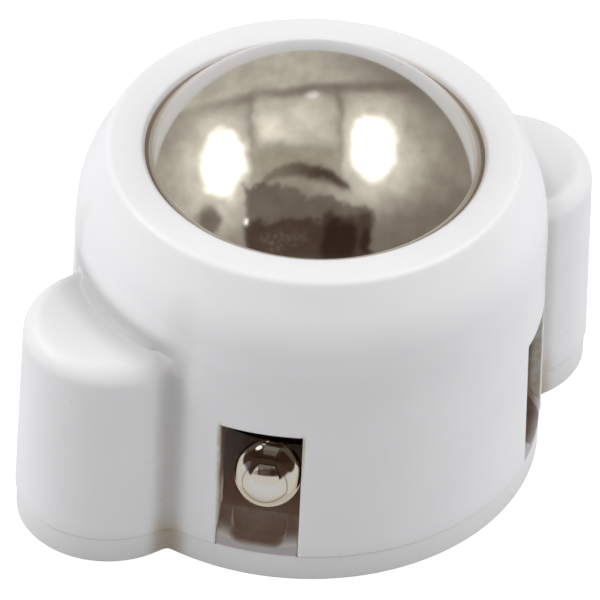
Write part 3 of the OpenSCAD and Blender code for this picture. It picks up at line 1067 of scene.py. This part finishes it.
# A place in the room is given by where a round mirror shows it from the camera's side: u to the
# right and v up, each from -1 to 1. A form is its kind, place, half sizes and half the width of its
# edge, then the colour that it is painted in and how strongly. A pair of values is where a ramp
# starts and where it is full
studioSetup = {
    "tint": (0.955, 0.96, 0.962),
    "spread": 0.2,
    "softLights": {
        "front": {"from": (0, 1, 0.2), "strength": 0.185},
        "left": {"from": (-1, 0, 0.2), "strength": 2.18},
        "right": {"from": (1, 0, 0.2), "strength": 2.08},
        "back": {"from": (0, -1, 0.2), "strength": 0.15},
    },
    "colours": {
        "pale": (0.68, 0.67, 0.62, 1),
        "middle": (0.43, 0.40, 0.36, 1),
        "bright": (0.95, 0.93, 0.88, 1),
        "corner": (0.54, 0.53, 0.48, 1),
        "panel": (0.9, 0.88, 0.84, 1),
        "flare": (1.2, 1.15, 1.1, 1),
        "coolSpark": (1.1, 1.1, 1.2, 1),
        "spark": (0.95, 0.93, 0.95, 1),
        "sill": (0.5, 0.47, 0.41, 1),
        "glare": (2.2, 2.2, 2.2, 1),
        "cream": (0.74, 0.73, 0.72, 1),
        "dust": (0.4, 0.35, 0.32, 1),
        "dim": (0.25, 0.215, 0.195, 1),
        "umber": (0.22, 0.185, 0.165, 1),
        "brown": (0.10, 0.066, 0.053, 1),
        "black": (0.045, 0.025, 0.02, 1),
    },
    "drift": {"grain": (6.0, 5, 0.62), "reach": 0.13, "other": (3.1, 5.7, 0.0)},
    "ragged": {"grain": (8.0, 6, 0.68), "reach": 0.32},
    "seam": {"height": 0.745, "tilt": 0.105, "sag": 0.15, "wobble": 0.4, "edge": (0.0, 0.04),
             "right": (0.0, 0.5, 0, 0.6), "line": (0.045, 0.0), "lineShare": (-0.65, 0.2, 0.1, 0.75)},
    "tent": [
        ("spot", (-0.60, 0.25), (0.22, 0.2), 0.6, "pale", 0.6),
        ("spot", (-0.44, 0.37), (0.21, 0.27), 0.5, "bright", 1),
        ("spot", (0.31, 0.44), (0.23, 0.28), 0.5, "bright", 1),
        ("spot", (0.56, 0.56), (0.12, 0.12), 0.5, "corner", 1),
        ("panel", (-0.085, 0.59), (0.20, 0.125), 0.02, "pale", 1),
        ("spot", (-0.10, 0.58), (0.17, 0.10), 0.5, "panel", 1),
        ("spot", (-0.19, 0.55), (0.05, 0.06), 0.5, "flare", 1),
        ("spot", (-0.004, 0.712), (0.028, 0.022), 0.5, "coolSpark", 1),
        ("spot", (-0.275, 0.60), (0.022, 0.03), 0.5, "spark", 1),
    ],
    "folds": {"places": (-0.285, 0.14), "width": (0.035, 0.0), "top": (0.78, 0.70), "foot": (0.2, 0.35),
              "share": 0.6},
    "sill": [("panel", (-0.07, 0.38), (0.20, 0.085), 0.04, "sill", 1)],
    "slope": {"tilt": -0.35, "steps": (0.16, -0.12, 0, 0.9)},
    "stand": [("spot", (-0.5, 0.1), (0.055, 0.06), 0.4, "dim", 1)],
    "doorway": {"form": ("panel", (-0.01, -0.15), (0.31, 0.60), 0.012), "tilt": 0.2,
                "umber": (0.24, 0.21), "brown": (0.13, 0.10)},
    "hood": {"outside": ("spot", (-0.045, 0.17), (0.25, 0.21), 0.06),
             "inside": ("spot", (-0.055, 0.11), (0.245, 0.21), 0.1),
             "foot": (0.23, 0.28), "right": (-0.2, 0.06, 0.6, 1.0)},
    "shadow": {"form": ("spot", (0.14, 0.0), (0.09, 0.14), 0.15), "top": (0.1, 0.07)},
    "small": [
        ("spot", (0.28, 0.01), (0.025, 0.055), 0.15, "black", 1),
        ("spot", (-0.312, 0.10), (0.010, 0.012), 0.4, "glare", 1),
    ],
    "glitter": {"form": ("spot", (-0.14, 0.01), (0.12, 0.05), 0.4), "grain": (60.0, 2, 0.6),
                "steps": (0.52, 0.62), "share": 0.6},
    "mottle": {"grain": (11.0, 5, 0.65), "steps": (0.3, 0.7, 0.84, 1.12)},
    "rim": {"steps": (0.74, 0.93), "right": (-0.1, 0.45, 0.15, 0.75)},
    "ground": {"height": -0.1, "tilt": -0.06, "bow": 0.2, "edge": (0.02, -0.02)},
    "lamps": [
        ("spot", (-0.432, 0.379), (0.105, 0.157), 0.22, "glare", 1),
        ("spot", (0.306, 0.452), (0.10, 0.160), 0.25, "glare", 1),
    ],
    "later": (2.0, 3.0, 0.0, 0.75),
}


# the room that polished metal mirrors: a pale tent with a seam across it, a glow round each lamp, a
# bright panel between them, and the dark gap where the camera stands. With h halfway between a ray
# and the camera, u = h . right and v = h . up. Edges wander by a noise: u + drift and v + lift
def mirroredRoom(w, ray, s=studioSetup):
    tones = s["colours"]
    right, up, back = cameraAxes()
    half = w.vector("NORMALIZE", w.vector("ADD", ray, tuple(back)))
    u = w.vector("DOT_PRODUCT", half, tuple(right), out=1)
    v = w.vector("DOT_PRODUCT", half, tuple(up), out=1)
    place = w.joined(u, v)
    k = s["drift"]
    other = w.vector("ADD", place, k["other"])
    drift, lift = (w.maths("MULTIPLY_ADD", w.noise(at, *k["grain"]), k["reach"], -k["reach"] / 2)
                   for at in (place, other))
    u2, v2 = w.maths("ADD", u, drift), w.maths("ADD", v, lift)

    # a spot is one inside an ellipse, where (x / rx)^2 + (y / ry)^2 < 1, and zero outside it;
    # a panel is one inside a rectangle
    def form(kind, at, size, soft):
        if kind == "spot":
            x, y = (w.maths("DIVIDE", w.maths("SUBTRACT", a, b), r) for a, b, r in zip((u2, v2), at, size))
            return w.ramp(w.length(x, y), 1 + soft, 1 - soft)
        x, y = (w.ramp(w.apart(a, b), r + soft, r - soft) for a, b, r in zip((u2, v2), at, size))
        return w.times(x, y)

    def painted(colour, forms):
        for kind, at, size, soft, tone, share in forms:
            mask = form(kind, at, size, soft)
            colour = w.mix(mask if share == 1 else w.times(mask, share), colour, tones[tone])
        return colour

    # the tent: middle grey below the seam v = height + tilt u - sag u^2 and pale above it
    k = s["seam"]
    seam = w.maths("SUBTRACT", w.maths("MULTIPLY_ADD", u, k["tilt"], k["height"]), w.times(u, u, k["sag"]))
    above = w.maths("SUBTRACT", w.maths("MULTIPLY_ADD", lift, k["wobble"], v), seam)
    pale = w.mix(w.ramp(u, *k["right"]), tones["pale"], tones["middle"])
    colour = w.mix(w.ramp(above, *k["edge"]), tones["middle"], pale)
    colour = painted(colour, s["tent"])
    line = w.times(w.ramp(w.maths("ABSOLUTE", above), *k["line"]), w.ramp(u, *k["lineShare"]))
    colour = w.mix(line, colour, tones["dim"])
    k = s["folds"]
    for x in k["places"]:
        fold = w.times(w.ramp(w.apart(u2, x), *k["width"]), w.ramp(v, *k["top"]), w.ramp(v, *k["foot"]))
        colour = w.mix(w.times(fold, k["share"]), colour, tones["dim"])
    colour = painted(colour, s["sill"])
    k = s["slope"]
    colour = w.mix(w.ramp(w.maths("MULTIPLY_ADD", u, k["tilt"], v), *k["steps"]), colour, tones["dim"])
    colour = painted(colour, s["stand"])

    # the dark gap: a ragged-topped doorway, a hood over it, shadows and glitter in it
    k = s["ragged"]
    ragged = w.maths("MULTIPLY_ADD", w.noise(other, *k["grain"]), k["reach"],
                     w.maths("SUBTRACT", v, k["reach"] / 2))
    k = s["doorway"]
    door = form(*k["form"])
    slant = w.maths("MULTIPLY_ADD", u, k["tilt"], ragged)
    colour = w.mix(w.times(door, w.ramp(slant, *k["umber"])), colour, tones["umber"])
    colour = w.mix(w.times(door, w.ramp(ragged, *k["brown"])), colour, tones["brown"])
    k = s["hood"]
    hood = w.times(form(*k["outside"]), w.maths("SUBTRACT", 1.0, form(*k["inside"])),
                   w.ramp(v2, *k["foot"]), w.ramp(u, *k["right"]))
    colour = w.mix(hood, colour, tones["brown"])
    k = s["shadow"]
    colour = w.mix(w.times(form(*k["form"]), w.ramp(ragged, *k["top"])), colour, tones["black"])
    colour = painted(colour, s["small"])
    k = s["glitter"]
    glitter = w.times(form(*k["form"]), w.patches(place, k["grain"], k["steps"]), k["share"])
    colour = w.mix(glitter, colour, tones["dust"])

    # mottle, the dim right rim, the cream ground below v = height + tilt u + bow u^2, and the lamps
    colour = w.mix(1.0, colour, w.patches(place, s["mottle"]["grain"], s["mottle"]["steps"]), "MULTIPLY")
    k = s["rim"]
    rim = w.times(w.ramp(w.length(u, v), *k["steps"]), w.ramp(u, *k["right"]))
    colour = w.mix(rim, colour, tones["dim"])
    k = s["ground"]
    brink = w.maths("MULTIPLY_ADD", u, k["tilt"], k["height"])
    brink = w.maths("MULTIPLY_ADD", w.times(u, u), k["bow"], brink)
    colour = w.mix(w.ramp(w.maths("SUBTRACT", v, brink), *k["edge"]), colour, tones["cream"])
    return painted(colour, s["lamps"])


# the world: soft lights from four sides, each growing with the cosine to its axis, for all but
# mirror rays, which see the room, darker in a mirror's mirror, and the camera, which sees white
def addStudio(s=studioSetup):
    world = bpy.data.worlds.new("studio")
    bpy.context.scene.world = world
    world.use_nodes = True
    w = Wires(world.node_tree)
    ray = w.node("TexCoord").outputs["Generated"]
    back = cameraAxes()[2]
    level = Vector((back.x, back.y, 0)).normalized()
    axes = (Vector((-level.y, level.x, 0)), level, Vector((0, 0, 1)))
    total = 0.0
    for name, soft in s["softLights"].items():
        towards = w.vector("DOT_PRODUCT", w.vector("NORMALIZE", ray), tuple(along(axes, soft["from"])), out=1)
        glow = w.ramp(towards, s["spread"], 1.0, 0.0, soft["strength"])
        glow.node.name = name
        total = w.maths("ADD", total, glow)
    light = w.node("LightPath").outputs
    room = w.mix(w.ramp(light["Ray Depth"], *s["later"]), mirroredRoom(w, ray), s["colours"]["black"])
    lit = w.mix(light["Is Glossy Ray"], w.scaled(s["tint"], total), room)
    shade = world.node_tree.nodes["Background"]
    w.put(shade.inputs["Color"], w.mix(light["Is Camera Ray"], lit, whiteLight))
    shade.inputs["Strength"].default_value = 1.0


addStudio()
bpy.context.scene.view_settings.view_transform = "Standard"
print("studio made")
